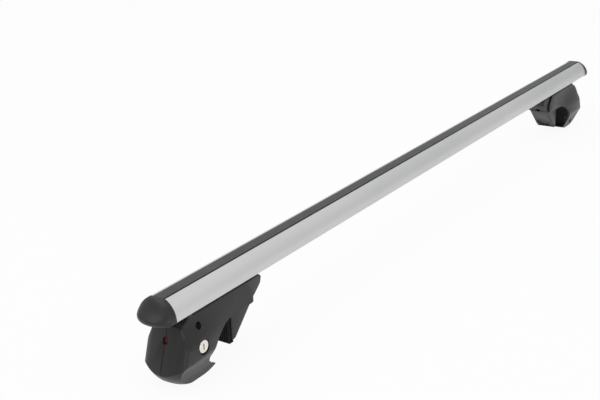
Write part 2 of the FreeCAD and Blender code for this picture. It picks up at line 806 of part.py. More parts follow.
def jaw_block():
    """Moulded slider in the arm with the wedge-shaped jaw that hangs from it."""
    top = deck_underside - piece_gap
    tip = -jaw_tip_reach
    knee = tip + jaw_tip_height
    outline = polygon([
        V(tip, 0, top - 3), V(tip + 2.5, 0, top), V(jaw_face, 0, top), V(jaw_face, 0, -jaw_drop),
        V(jaw_face - jaw_toe, 0, -jaw_drop + 1.5), V(knee, 0, -arm_depth - 1.5),
        V(knee - 3, 0, -arm_depth + 1.0), V(knee - 5, 0, -arm_depth + 5),
        V(tip + 8, 0, -arm_depth + 9.5), V(tip + 2, 0, -15.0),
    ])
    block = side_prism(outline, jaw_half_width)
    edges = [edge for edge in block.Edges if is_jaw_long_edge(edge)]
    block = block.makeFillet(2.0, edges)
    slope_start = V(jaw_face - jaw_toe, 0, -jaw_drop + 1.5)
    slope_end = V(knee, 0, -arm_depth - 1.5)
    along = (slope_end - slope_start).normalize()
    outward = V(along.z, 0, -along.x)
    if outward.x > 0:
        outward = outward * -1
    scoop_centre = slope_start + along * (jaw_scoop_radius * 0.9) - outward * jaw_scoop_depth
    scoop = rod(jaw_scoop_radius, scoop_centre, outward, beyond_all)
    bore = rod(bolt_radius + bolt_hole_gap, V(jaw_face + 1, 0, -bolt_drop), V(-1, 0, 0),
               jaw_tip_reach + jaw_face - 6)
    half = nut_width / 2 + piece_gap / 3
    nut_slot = box(nut_place - nut_thickness / 2 - 0.1, nut_place + nut_thickness / 2 + 0.1, -half, half,
                   -bolt_drop - half, 0)
    return block.cut([scoop, bore, nut_slot])


def is_jaw_long_edge(edge):
    """True for the side edges of the wedge below the arm, but for its face's."""
    middle = edge.valueAt((edge.FirstParameter + edge.LastParameter) / 2)
    on_side = edge.BoundBox.YLength < 0.01
    return on_side and middle.z < -arm_depth and middle.x < jaw_face - 1


def jaw_nut():
    """Square nut held in the slider."""
    half = nut_width / 2
    nut = box(nut_place - nut_thickness / 2, nut_place + nut_thickness / 2, -half, half,
              -bolt_drop - half, -bolt_drop + half)
    return nut.cut(rod(bolt_radius + nut_thread_gap, V(nut_place - 20, 0, -bolt_drop), V(1, 0, 0), 40))


def jaw_pad():
    """Ribbed rubber pad on the jaw's face, with a lip under the jaw."""
    front = jaw_face + jaw_pad_thickness
    face = box(jaw_face, front, -jaw_pad_half_width, jaw_pad_half_width, -jaw_drop, -jaw_pad_top)
    lip = box(jaw_face - jaw_lip_length, front + 1.0, -jaw_half_width + 1, jaw_half_width - 1,
              -jaw_drop - jaw_lip_thickness, -jaw_drop)
    groove_low = -jaw_drop + 1.0
    groove = box(front - rib_height, front + 5, -(rib_pitch - rib_width) / 2, (rib_pitch - rib_width) / 2,
                 groove_low, -jaw_pad_top + 5)
    return fuse([ribbed(face, groove, jaw_pad_half_width), lip])


def lock_housing_radius():
    """Outer radius of the lock's fixed barrel."""
    return lock_plug_radius + lock_running_gap + lock_housing_wall


lock_face = body_half_width - lock_recess


def housing_end():
    """Distance of the fixed barrel's outer end from the middle, behind the shell's front wall."""
    return body_half_width - lock_front_wall


def lock_housing():
    """Fixed barrel around the turning plug."""
    start = V(lock_reach, lock_inner_end, -lock_drop)
    length = housing_end() - lock_inner_end
    tube = rod(lock_housing_radius(), start, ACROSS, length)
    return tube.cut(rod(lock_plug_radius + lock_running_gap, start, ACROSS, length))


def lock_plug():
    """Turning plug with its keyway."""
    start = V(lock_reach, lock_inner_end, -lock_drop)
    plug = rod(lock_plug_radius, start, ACROSS, lock_face - lock_inner_end)
    rim = [edge for edge in plug.Edges if abs(edge.BoundBox.Center.y - lock_face) < 0.01 and edge.Closed]
    plug = plug.makeFillet(0.6, rim)
    keyway = box(-keyway_width / 2, keyway_width / 2, lock_face - keyway_depth, lock_face + 1,
                 -keyway_length / 2, keyway_length / 2)
    keyway.translate(V(lock_reach, 0, -lock_drop))
    return plug.cut(keyway)


def lock_cam():
    """Lever on the plug's inner end, with the pin that moves the shutter."""
    centre = V(lock_reach, lock_inner_end - cam_thickness, -lock_drop)
    pin = nose_point(cam_arm * math.sqrt(0.5), pin_down, lock_inner_end - cam_thickness)
    hub = rod(4.0, centre, ACROSS, cam_thickness)
    end = rod(cam_pin_radius + 1.2, pin, ACROSS, cam_thickness)
    along = (pin - centre).normalize()
    side = V(along.z, 0, -along.x) * 3.0
    web = polygon([centre + side, pin + side, pin - side, centre - side]).extrude(ACROSS * cam_thickness)
    peg = rod(cam_pin_radius, pin, ACROSS * -1, cam_pin_length)
    return fuse([hub, end, web, peg])


def shutter():
    """Red shutter behind the access hole, with the slotted arm that the cam moves."""
    arm_top_y = lock_inner_end - cam_thickness - 0.2
    plate = side_prism(polygon(shutter_outline(0)[:4] + shutter_outline(0)[6:]), shutter_half_width)
    arm_points = [shutter_outline(0)[4], shutter_outline(0)[5],
                  nose_point(shutter_in + 1, pin_down - shutter_arm_height / 2),
                  nose_point(shutter_in + 1, pin_down + shutter_arm_height / 2)]
    arm = polygon(arm_points).extrude(V(0, -cam_pin_length, 0))
    arm.translate(V(0, arm_top_y, 0))
    slot_half = cam_pin_radius + cam_pin_gap
    near = cam_arm * math.sqrt(0.5)
    slot = polygon([
        nose_point(near - slot_half, pin_down - slot_half),
        nose_point(cam_arm + slot_half, pin_down - slot_half),
        nose_point(cam_arm + slot_half, pin_down + slot_half),
        nose_point(near - slot_half, pin_down + slot_half),
    ]).extrude(V(0, 20, 0))
    return fuse([plate, arm]).cut(slot)


def shell_screws():
    """The screws that hold the two shells together."""
    screws = []
    for seat, outward in shell_screw_lines():
        head = rod(shell_screw_head_radius, seat, outward, shell_screw_head_height)
        shank = rod(shell_screw_radius, seat, outward * -1, abs(seat.y) + screw_thread_depth - 1)
        socket = hexagon_prism(2.5, seat + outward * shell_screw_head_height, outward * -1, 1.6)
        screws.append(fuse([head, shank]).cut(socket))
    return Part.makeCompound(screws)


def foot_pieces():
    """Every piece of one foot by name, in the foot's own place."""
    lock_shell, plain_shell = foot_shells()
    return {
        "lock_side_shell": lock_shell,
        "plain_side_shell": plain_shell,
        "saddle_pad": saddle_pad(),
        "bracket": bracket(),
        "slot_plate": slot_plate(),
        "slot_screws": slot_screws(),
        "shell_screws": shell_screws(),
        "hook_liner": hook_liner(),
        "lock_housing": lock_housing(),
        "bolt_washer": washer(),
        "clamp_bolt": clamp_bolt(),
        "jaw_block": jaw_block(),
        "jaw_pad": jaw_pad(),
        "jaw_nut": jaw_nut(),
        "lock_plug": lock_plug(),
        "lock_cam": lock_cam(),
        "shutter": shutter(),
    }


def crossbar_pieces():
    """All pieces of the crossbar in their places, by node name."""
    lift = V(0, 0, foot_height)
    cap = end_cap()
    pieces = {
        "bar_extrusion": bar_extrusion(),
        "top_strip": top_strip(),
        "right_end_cap": cap,
        "left_end_cap": cap.mirror(V(0, 0, 0), V(1, 0, 0)),
    }
    placed = {name: shape.translated(lift) for name, shape in pieces.items()}
    for name, shape in foot_pieces().items():
        placed["right_" + name] = shape.translated(V(bar_length / 2 - right_end_distance, 0, foot_height))
        turned = shape.rotated(V(0, 0, 0), V(0, 0, 1), 180)
        placed["left_" + name] = turned.translated(V(left_end_distance - bar_length / 2, 0, foot_height))
    return placed


os.makedirs("parts", exist_ok=True)
for node, piece in crossbar_pieces().items():
    piece.exportStep(os.path.join("parts", node + ".step"))
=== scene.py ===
"""Looks of a roof rack crossbar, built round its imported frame.

The bar, its rubber strip and caps and the two lockable feet are dressed one sub-assembly at a
time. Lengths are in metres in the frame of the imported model, X along the bar, Y across it and Z
up, and angles are in degrees. A foot's own places are in millimetres from its rail's line.
"""

import logging
import math
from dataclasses import dataclass
from enum import Enum
from typing import Callable, Iterable, Sequence

import bmesh
import bpy
from mathutils import Matrix, Vector


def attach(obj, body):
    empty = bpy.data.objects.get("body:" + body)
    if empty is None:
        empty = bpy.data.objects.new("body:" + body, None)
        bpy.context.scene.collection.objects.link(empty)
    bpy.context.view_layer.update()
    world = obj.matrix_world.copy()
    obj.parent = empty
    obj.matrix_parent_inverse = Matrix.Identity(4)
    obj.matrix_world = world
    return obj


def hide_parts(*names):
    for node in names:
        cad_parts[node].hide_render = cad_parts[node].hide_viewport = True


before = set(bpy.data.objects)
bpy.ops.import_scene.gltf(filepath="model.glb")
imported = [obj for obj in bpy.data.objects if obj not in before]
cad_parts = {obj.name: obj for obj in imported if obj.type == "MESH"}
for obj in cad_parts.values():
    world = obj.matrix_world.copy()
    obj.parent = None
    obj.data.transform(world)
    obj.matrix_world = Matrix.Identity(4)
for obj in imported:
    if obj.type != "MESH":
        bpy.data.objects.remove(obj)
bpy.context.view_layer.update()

LOG = logging.getLogger("crossbar")

MM = 0.001

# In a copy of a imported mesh, corners nearer than the gap are one, edges shorter than the sliver are
# none, and faces that meet at less than the bend, in degrees, are one.
MERGE_GAP = 2e-6
SLIVER = 1e-6
FLAT_BEND = 0.6

WHITE = (1.0, 1.0, 1.0, 1.0)

Tone = tuple[float, float, float]
Triple = tuple[float, float, float]
Socket = bpy.types.NodeSocket


class Side(Enum):
    """The two ends of the bar, by the sign of X."""

    LEFT = -1
    RIGHT = 1

    @property
    def word(self) -> str:
        """Word that starts the names of this end's nodes and bodies."""
        return self.name.lower()


class Grain(Enum):
    """Surface grain of a moulding: width of one bump in metres and its strength."""

    POLISHED = (0.0012, 0.02)
    FINE = (0.00045, 0.12)
    COARSE = (0.0008, 0.09)


@dataclass(frozen=True)
class Pattern:
    """A noise pattern, drawn out along an axis whose stretch is small."""

    width: float
    detail: float
    stretch: Triple = (1.0, 1.0, 1.0)


@dataclass(frozen=True)
class Relief:
    """How hard and how deep, in metres, a pattern is pressed into a surface."""

    strength: float
    depth: float


class Board:
    """The node tree of a material or a world, with short calls to place and wire its nodes."""

    def __init__(self, owner: bpy.types.Material | bpy.types.World) -> None:
        """Opens the owner's node tree."""
        owner.use_nodes = True
        self.tree = owner.node_tree

    def node(
        self, kind: str, settings: dict[str, str] | None = None, **inputs: float | Sequence[float]
    ) -> bpy.types.Node:
        """Places a node.

        Args:
            kind: Blender's type name of the node.
            settings: the node's own properties.
            inputs: default values of its sockets, named with underscores for spaces.

        Returns:
            The new node.
        """
        made = self.tree.nodes.new(kind)
        for name, value in (settings or {}).items():
            setattr(made, name, value)
        for name, value in inputs.items():
            made.inputs[name.replace("_", " ")].default_value = value
        return made

    def wire(self, source: Socket, target: Socket) -> None:
        """Joins an output to an input."""
        self.tree.links.new(source, target)


class FinishBoard(Board):
    """The board of a finish, whose patterns run into one Principled shader."""

    tint_from = 0.3
    tint_to = 0.7

    def __init__(self, name: str) -> None:
        """Starts a material.

        Args:
            name: the material's name.
        """
        self.material = bpy.data.materials.new(name)
        super().__init__(self.material)
        self.shader = self.tree.nodes["Principled BSDF"]

    def set(self, **values: float) -> None:
        """Sets single values on the shader's own sockets, named with underscores for spaces."""
        for name, value in values.items():
            self.shader.inputs[name.replace("_", " ")].default_value = value

    def noise(self, pattern: Pattern) -> Socket:
        """Lays a noise pattern on a piece's Object coordinates.

        Args:
            pattern: the pattern.

        Returns:
            The noise node's factor.
        """
        place = self.node("ShaderNodeTexCoord")
        mapping = self.node("ShaderNodeMapping", Scale=pattern.stretch)
        self.wire(place.outputs["Object"], mapping.inputs["Vector"])
        made = self.node("ShaderNodeTexNoise", Scale=1.0 / pattern.width, Detail=pattern.detail)
        self.wire(mapping.outputs["Vector"], made.inputs["Vector"])
        return made.outputs["Fac"]

    def tint(self, factor: Socket, low: Tone, high: Tone) -> None:
        """Runs the base colour from one tone to another.

        Args:
            factor: a pattern whose values lie near 0.5.
            low: the tone where the pattern is low.
            high: the tone where it is high.
        """
        ramp = self.node("ShaderNodeValToRGB")
        first, last = ramp.color_ramp.elements
        first.position = self.tint_from
        last.position = self.tint_to
        first.color = (*low, 1.0)
        last.color = (*high, 1.0)
        self.wire(factor, ramp.inputs["Fac"])
        self.wire(ramp.outputs["Color"], self.shader.inputs["Base Color"])

    def vary_roughness(self, factor: Socket, low: float, high: float) -> None:
        """Runs the roughness between two values.

        Args:
            factor: the pattern that it follows.
            low: the roughness where the pattern is 0.
            high: the roughness where it is 1.
        """
        spread = self.node("ShaderNodeMapRange", To_Min=low, To_Max=high)
        self.wire(factor, spread.inputs["Value"])
        self.wire(spread.outputs["Result"], self.shader.inputs["Roughness"])

    def bump(self, *layers: tuple[Socket, Relief]) -> None:
        """Stacks layers of bump.

        Args:
            layers: the height and the relief of each layer, the undermost first.
        """
        last = None
        for height, relief in layers:
            made = self.node("ShaderNodeBump", Strength=relief.strength, Distance=relief.depth)
            self.wire(height, made.inputs["Height"])
            if last is not None:
                self.wire(last, made.inputs["Normal"])
            last = made.outputs["Normal"]
        self.wire(last, self.shader.inputs["Normal"])


class StageBoard(Board):
    """The board of the floor or the sky, which shows the camera more than it lights the part."""

    def __init__(self, owner: bpy.types.Material | bpy.types.World, output: str) -> None:
        """Clears the owner's node tree and places its output.

        Args:
            owner: the material or world.
            output: Blender's type name of its output node.
        """
        super().__init__(owner)
        self.tree.nodes.clear()
        self.output = self.node(output)
        self.path = self.node("ShaderNodeLightPath")

    def seen_or_mirrored(self) -> Socket:
        """Tells the rays that show the surface from the rays that only light the part.

        Returns:
            A socket that is 1 for what is seen straight, mirrored in the part or through it.
        """
        last = self.path.outputs["Is Camera Ray"]
        for kind in ("Is Glossy Ray", "Is Transmission Ray"):
            either = self.node("ShaderNodeMath", {"operation": "MAXIMUM"})
            self.wire(last, either.inputs[0])
            self.wire(self.path.outputs[kind], either.inputs[1])
            last = either.outputs["Value"]
        return last

    def blend(self, share: Socket, lighting: bpy.types.Node, shown: bpy.types.Node) -> None:
        """Runs the output from one shader to another.

        Args:
            share: how much of the second shader is used.
            lighting: the shader at a share of 0.
            shown: the shader at a share of 1.
        """
        mix = self.node("ShaderNodeMixShader")
        self.wire(share, mix.inputs["Fac"])
        self.wire(lighting.outputs[0], mix.inputs[1])
        self.wire(shown.outputs[0], mix.inputs[2])
        self.wire(mix.outputs["Shader"], self.output.inputs["Surface"])


@dataclass(frozen=True)
class Aluminium:
    """Satin anodised extrusion with faint lines drawn along X."""

    name: str = "satin_anodised_aluminium"
    low: Tone = (0.60, 0.605, 0.60)
    high: Tone = (0.66, 0.66, 0.65)
    roughness: float = 0.46
    smoother: float = 0.05
    rougher: float = 0.06
    metallic: float = 0.65
    specular: float = 0.5
    clouds: Pattern = Pattern(0.09, 2.0, (0.3, 1.0, 1.0))
    lines: Pattern = Pattern(0.0006, 3.0, (0.012, 1.0, 1.0))
    line_relief: Relief = Relief(0.10, 0.00003)
    pits: Pattern = Pattern(0.00018, 1.0)
    pit_relief: Relief = Relief(0.05, 0.00002)

    def material(self) -> bpy.types.Material:
        """Builds the node material.

        Returns:
            The material.
        """
        board = FinishBoard(self.name)
        board.set(Metallic=self.metallic, Specular_IOR_Level=self.specular)
        lines = board.noise(self.lines)
        board.tint(board.noise(self.clouds), self.low, self.high)
        board.vary_roughness(lines, self.roughness - self.smoother, self.roughness + self.rougher)
        board.bump((lines, self.line_relief), (board.noise(self.pits), self.pit_relief))
        return board.material


@dataclass(frozen=True)
class Moulding:
    """Moulded plastic or rubber with a grain, a wave in it and a faint change of tone.

    The wave's width and strength are multiples of the grain's.
    """

    name: str
    tone: Tone
    roughness: float
    grain: Grain = Grain.FINE
    specular: float = 0.5
    tone_swing: float = 0.12
    clouds: Pattern = Pattern(0.03, 3.0)
    roughness_swing: float = 0.06
    patches: Pattern = Pattern(0.006, 3.0)
    grain_detail: float = 2.0
    grain_depth: float = 0.00008
    wave_detail: float = 1.0
    wave_depth: float = 0.0001
    wave_width: float = 5.0
    wave_strength: float = 0.4

    def material(self) -> bpy.types.Material:
        """Builds the node material.

        Returns:
            The material.
        """
        board = FinishBoard(self.name)
        board.set(Specular_IOR_Level=self.specular)
        low, high = (
            tuple(part * scale for part in self.tone)
            for scale in (1 - self.tone_swing, 1 + self.tone_swing)
        )
        board.tint(board.noise(self.clouds), low, high)
        swing = self.roughness_swing
        patches = board.noise(self.patches)
        board.vary_roughness(patches, self.roughness - swing, self.roughness + swing)
        width, strength = self.grain.value
        grain = board.noise(Pattern(width, self.grain_detail))
        wave = board.noise(Pattern(width * self.wave_width, self.wave_detail))
        board.bump(
            (grain, Relief(strength, self.grain_depth)),
            (wave, Relief(strength * self.wave_strength, self.wave_depth)),
        )
        return board.material


@dataclass(frozen=True)
class PlatedMetal:
    """Plated steel or a cast lock part, with fine turning marks and light wear."""

    name: str
    tone: Tone
    roughness: float
    worn: float = 0.85
    wear: Pattern = Pattern(0.004, 3.0)
    smoother: float = 0.07
    rougher: float = 0.1
    polish: Pattern = Pattern(0.0015, 3.0)
    marks: Pattern = Pattern(0.0003, 2.0)
    mark_relief: Relief = Relief(0.08, 0.00004)

    def material(self) -> bpy.types.Material:
        """Builds the node material.

        Returns:
            The material.
        """
        board = FinishBoard(self.name)
        board.set(Metallic=1.0)
        board.tint(board.noise(self.wear), tuple(part * self.worn for part in self.tone), self.tone)
        polish = board.noise(self.polish)
        board.vary_roughness(polish, self.roughness - self.smoother, self.roughness + self.rougher)
        board.bump((board.noise(self.marks), self.mark_relief))
        return board.material


Finish = Aluminium | Moulding | PlatedMetal

ALUMINIUM = Aluminium()
STRIP = Moulding("strip_rubber", (0.056, 0.056, 0.058), 0.5, Grain.COARSE, 0.5)
CAP = Moulding("cap_plastic", (0.0135, 0.0127, 0.0127), 0.36, Grain.FINE, 0.45)
HOUSING = Moulding("housing_plastic", (0.013, 0.0122, 0.0126), 0.38, Grain.FINE, 0.42)
JAW = Moulding("jaw_plastic", (0.016, 0.0156, 0.017), 0.40, Grain.FINE, 0.4)
PAD = Moulding("pad_rubber", (0.008, 0.008, 0.0085), 0.7, Grain.FINE, 0.3)
LINER = Moulding("liner_rubber", (0.008, 0.008, 0.0085), 0.62, Grain.FINE, 0.3)
# The shutter's red is its own; its dark tone is painted shade, for the shade deep in its hole.
SHUTTER_WITH_SHADE = Moulding("shutter_plastic", (0.085, 0.005, 0.006), 0.45, Grain.POLISHED, 0.3)
# Painted shade for the inside of the lock's keyway.
KEYWAY_SHADOW = Moulding("keyway_shadow", (0.01, 0.01, 0.01), 0.6)
ZINC = PlatedMetal("zinc_plated_steel", (0.62, 0.62, 0.60), 0.34)
SCREW = PlatedMetal("dark_plated_steel", (0.22, 0.22, 0.23), 0.38)
LOCK = PlatedMetal("nickel_plated_lock", (0.86, 0.82, 0.75), 0.24)


class Wardrobe:
    """The materials of this part, each made once."""

    def __init__(self) -> None:
        """Starts with nothing made."""
        self.made: dict[str, bpy.types.Material] = {}

    def get(self, finish: Finish) -> bpy.types.Material:
        """Finds the material of a finish, and makes it at its first use.

        Args:
            finish: the finish.

        Returns:
            Its material.
        """
        if finish.name not in self.made:
            self.made[finish.name] = finish.material()
        return self.made[finish.name]

    def dress(self, piece: bpy.types.Object, *finishes: Finish) -> None:
        """Gives a piece its finishes.

        Args:
            piece: the piece, whose faces keep their material numbers when it had no slots.
            finishes: the finish of each material number, in order.
        """
        slots = piece.data.materials
        if len(slots):
            slots.clear()
        for finish in finishes:
            slots.append(self.get(finish))


WARDROBE = Wardrobe()


def new_piece(name: str, maker: bmesh.types.BMesh) -> bpy.types.Object:
    """Turns a bmesh into a piece at the origin.

    Args:
        name: the piece's name.
        maker: the finished bmesh, which is freed.

    Returns:
        The object, linked to the scene.
    """
    mesh = bpy.data.meshes.new(name)
    maker.to_mesh(mesh)
    maker.free()
    piece = bpy.data.objects.new(name, mesh)
    bpy.context.scene.collection.objects.link(piece)
    return piece


def merged_copy(node: str) -> bmesh.types.BMesh:
    """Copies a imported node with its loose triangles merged.

    Args:
        node: the node's name.

    Returns:
        The bmesh.
    """
    maker = bmesh.new()
    maker.from_mesh(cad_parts[node].data)
    bmesh.ops.remove_doubles(maker, verts=maker.verts, dist=MERGE_GAP)
    bmesh.ops.dissolve_degenerate(maker, edges=maker.edges, dist=SLIVER)
    return maker


def span_box(a: Vector, b: Vector) -> Matrix:
    """The transform that turns a unit cube into the box between two corners."""
    size = Matrix.Diagonal([abs(p - q) for p, q in zip(a, b)]).to_4x4()
    return Matrix.Translation((a + b) / 2) @ size


def middle_of(edge: bmesh.types.BMEdge) -> Vector:
    """The middle of an edge."""
    return (edge.verts[0].co + edge.verts[1].co) / 2


def sharp_edges(maker: bmesh.types.BMesh, bend: float) -> list[bmesh.types.BMEdge]:
    """Finds the edges between two faces that are bent by more than an angle.

    Args:
        maker: the bmesh to look in.
        bend: least bend in degrees.

    Returns:
        The edges found.
    """
    limit = math.radians(bend)
    return [
        edge
        for edge in maker.edges
        if len(edge.link_faces) == 2 and edge.calc_face_angle(0.0) > limit
    ]


def round_edges(
    maker: bmesh.types.BMesh, edges: Iterable[bmesh.types.BMEdge], radius: float, facets: int
) -> None:
    """Rounds edges.

    Args:
        maker: the bmesh that holds them.
        edges: the edges.
        radius: how far from the edge the round starts.
        facets: facets of the round.
    """
    bmesh.ops.bevel(
        maker,
        geom=list(edges),
        offset=radius,
        offset_type="OFFSET",
        segments=facets,
        profile=0.5,
        affect="EDGES",
        clamp_overlap=True,
        material=-1,
        loop_slide=True,
    )


def smooth(maker: bmesh.types.BMesh, crisp: float) -> None:
    """Shades a bmesh smooth except across its crisp edges.

    Args:
        maker: the bmesh.
        crisp: least bend of an edge that stays crisp, in degrees.
    """
    limit = math.radians(crisp)
    for face in maker.faces:
        face.smooth = True
    for edge in maker.edges:
        edge.smooth = len(edge.link_faces) == 2 and edge.calc_face_angle(0.0) < limit


@dataclass(frozen=True)
class Zone:
    """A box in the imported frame."""

    low: Vector
    high: Vector

    def holds(self, place: Vector) -> bool:
        """Tells whether a point lies in the box."""
        return all(a <= p <= b for a, p, b in zip(self.low, place, self.high))

    def holds_edge(self, edge: bmesh.types.BMEdge) -> bool:
        """Tells whether both ends of an edge lie in the box."""
        return all(self.holds(vert.co) for vert in edge.verts)


@dataclass(frozen=True)
class Rounding:
    """The edges of a zone, rounded by more than the other edges of their piece."""

    zone: Zone
    radius: float
    facets: int = 4

    def cut(self, maker: bmesh.types.BMesh, bend: float) -> None:
        """Rounds the zone's edges that are bent by more than an angle in degrees."""
        found = [edge for edge in sharp_edges(maker, bend) if self.zone.holds_edge(edge)]
        round_edges(maker, found, self.radius, self.facets)


@dataclass(frozen=True)
class MeltedStep:
    """A moulded step in a zone, eased into a soft slope.

    The faces within mesh_reach of the step are made triangles and the edges within split_reach
    are split down to each of the lengths in turn. Then the corners within reach are smoothed.
    """

    zone: Zone
    bend: float = 60.0
    rise: float = 0.1 * MM
    lengths: tuple[float, ...] = (3 * MM, 1.5 * MM, 0.9 * MM)
    mesh_reach: float = 5.2 * MM
    split_reach: float = 3.9 * MM
    reach: float = 2.6 * MM
    passes: int = 9
    pull: float = 0.5

    def seeds(self, maker: bmesh.types.BMesh) -> list[Vector]:
        """Finds points along the step.

        Args:
            maker: the bmesh that holds the step.

        Returns:
            The middles of its sharp edges, but for level ones.
        """
        return [
            middle_of(edge)
            for edge in sharp_edges(maker, self.bend)
            if self.zone.holds_edge(edge)
            and abs(edge.verts[0].co.z - edge.verts[1].co.z) > self.rise
        ]

    def melt(self, maker: bmesh.types.BMesh) -> None:
        """Eases the step.

        Args:
            maker: the bmesh that holds it.
        """
        seeds = self.seeds(maker)
        if not seeds:
            LOG.warning("no step found between %s and %s", self.zone.low, self.zone.high)
            return

        def distance(place: Vector) -> float:
            """Distance of a point from the step."""
            return min((place - seed).length for seed in seeds)

        for length in self.lengths:
            near = [
                face
                for face in maker.faces
                if distance(face.calc_center_median()) < self.mesh_reach
            ]
            bmesh.ops.triangulate(maker, faces=near)
            long_edges = [
                edge
                for edge in maker.edges
                if edge.calc_length() > length and distance(middle_of(edge)) < self.split_reach
            ]
            bmesh.ops.subdivide_edges(maker, edges=long_edges, cuts=1)
        loose = [vert for vert in maker.verts if distance(vert.co) < self.reach]
        for _ in range(self.passes):
            bmesh.ops.smooth_vert(
                maker,
                verts=loose,
                factor=self.pull,
                use_axis_x=True,
                use_axis_y=True,
                use_axis_z=True,
            )


@dataclass(frozen=True)
class Patch:
    """Faces of a piece that show a second finish, told by their middle and normal."""

    finish: Finish
    shows: Callable[[Vector, Vector], bool]


@dataclass
class SoftCopy:
    """A packed rigid piece shown with its moulded edges eased.

    The ease is the most that its edges are bevelled by. Short edges beside them make it less, down
    to a few hundredths of a millimetre on the caps, the shells and the jaw.
    """

    node: str
    body: str
    slot: str
    finish: Finish
    ease: float = 0.0
    facets: int = 2
    bend: float = 40.0
    crisp: float = 30.0
    roundings: tuple[Rounding, ...] = ()
    steps: tuple[MeltedStep, ...] = ()
    patch: Patch | None = None
    bent: Callable[[Vector], Vector] | None = None

    def shape(self) -> bmesh.types.BMesh:
        """Makes the eased shape.

        Returns:
            The finished bmesh.
        """
        maker = merged_copy(self.node)
        flat = math.radians(FLAT_BEND)
        bmesh.ops.dissolve_limit(maker, angle_limit=flat, verts=maker.verts, edges=maker.edges)
        if self.bent:
            for vert in maker.verts:
                vert.co = self.bent(vert.co)
        for step in self.steps:
            step.melt(maker)
        for rounding in self.roundings:
            rounding.cut(maker, self.bend)
        if self.ease:
            round_edges(maker, sharp_edges(maker, self.bend), self.ease, self.facets)
        smooth(maker, self.crisp)
        return maker

    def build(self) -> bpy.types.Object:
        """Makes the eased piece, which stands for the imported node.

        Returns:
            The finished object.
        """
        maker = self.shape()
        finishes = [self.finish]
        if self.patch:
            finishes.append(self.patch.finish)
            for face in maker.faces:
                shown = self.patch.shows(face.calc_center_median(), face.normal)
                face.material_index = int(shown)
        piece = new_piece(self.node + "_eased", maker)
        WARDROBE.dress(piece, *finishes)
        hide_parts(self.node)
        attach(piece, self.body)
        return piece


@dataclass
class Beam:
    """The silver extrusion with its strip and two caps."""

    body: str = "bar"
    half_length: float = 0.600
    bar_ease: float = 0.25 * MM
    strip_ease: float = 0.35 * MM
    strip_side_tilt: float = 0.3
    cap_ease: float = 0.9 * MM
    cap_facets: int = 4
    cap_bend: float = 15.0
    cap_crisp: float = 8.5
    cap_widest: float = 0.090
    cap_top: float = 0.109
    cap_lean: float = 0.20

    def on_strip_side(self, _middle: Vector, normal: Vector) -> bool:
        """Tells whether a face of the strip looks sideways, and so gets painted shade."""
        return abs(normal.y) > self.strip_side_tilt

    def straight_front(self, side: Side) -> Callable[[Vector], Vector]:
        """Gives the move that makes a cap's front run straight from its widest level to its top.

        Args:
            side: the end of the bar that the cap is on.

        Returns:
            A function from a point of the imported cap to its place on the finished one.
        """

        def moved(place: Vector) -> Vector:
            """Draws in a point of the front, most halfway between the two levels.

            Args:
                place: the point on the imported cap.

            Returns:
                The point on the finished cap.
            """
            out = side.value * place.x - self.half_length
            share = (place.z - self.cap_widest) / (self.cap_top - self.cap_widest)
            if out <= 0 or not 0 < share < 1:
                return place
            out *= 1 - self.cap_lean * math.sin(math.pi * share)
            return Vector((side.value * (self.half_length + out), place.y, place.z))

        return moved

    def extrusion(self) -> bpy.types.Object:
        """Shows the silver bar."""
        slot = "anodised_aluminium"
        return SoftCopy("bar_extrusion", self.body, slot, ALUMINIUM, self.bar_ease).build()

    def strip(self) -> bpy.types.Object:
        """Shows the rubber strip, with painted shade on its sides, which take the darker pad rubber.

        Returns:
            The strip.
        """
        # The strip's sides take the darker pad rubber as painted shade, for the shade of the gap
        # beside the bar.
        shaded_sides = Patch(PAD, self.on_strip_side)
        return SoftCopy(
            "top_strip", self.body, "strip_rubber", STRIP, self.strip_ease, patch=shaded_sides
        ).build()

    def cap(self, side: Side) -> bpy.types.Object:
        """Shows one end cap.

        Args:
            side: the end of the bar that it closes.

        Returns:
            The cap.
        """
        return SoftCopy(
            side.word + "_end_cap",
            self.body,
            "cap_plastic",
            CAP,
            self.cap_ease,
            facets=self.cap_facets,
            bend=self.cap_bend,
            crisp=self.cap_crisp,
            bent=self.straight_front(side),
        ).build()

    def build(self) -> list[bpy.types.Object]:
        """Dresses the extrusion, the strip and both caps."""
        return [self.extrusion(), self.strip(), *(self.cap(side) for side in Side)]


@dataclass(frozen=True)
class Span:
    """A box beside a foot, between two points given as for Foot.place."""

    near: Triple
    far: Triple


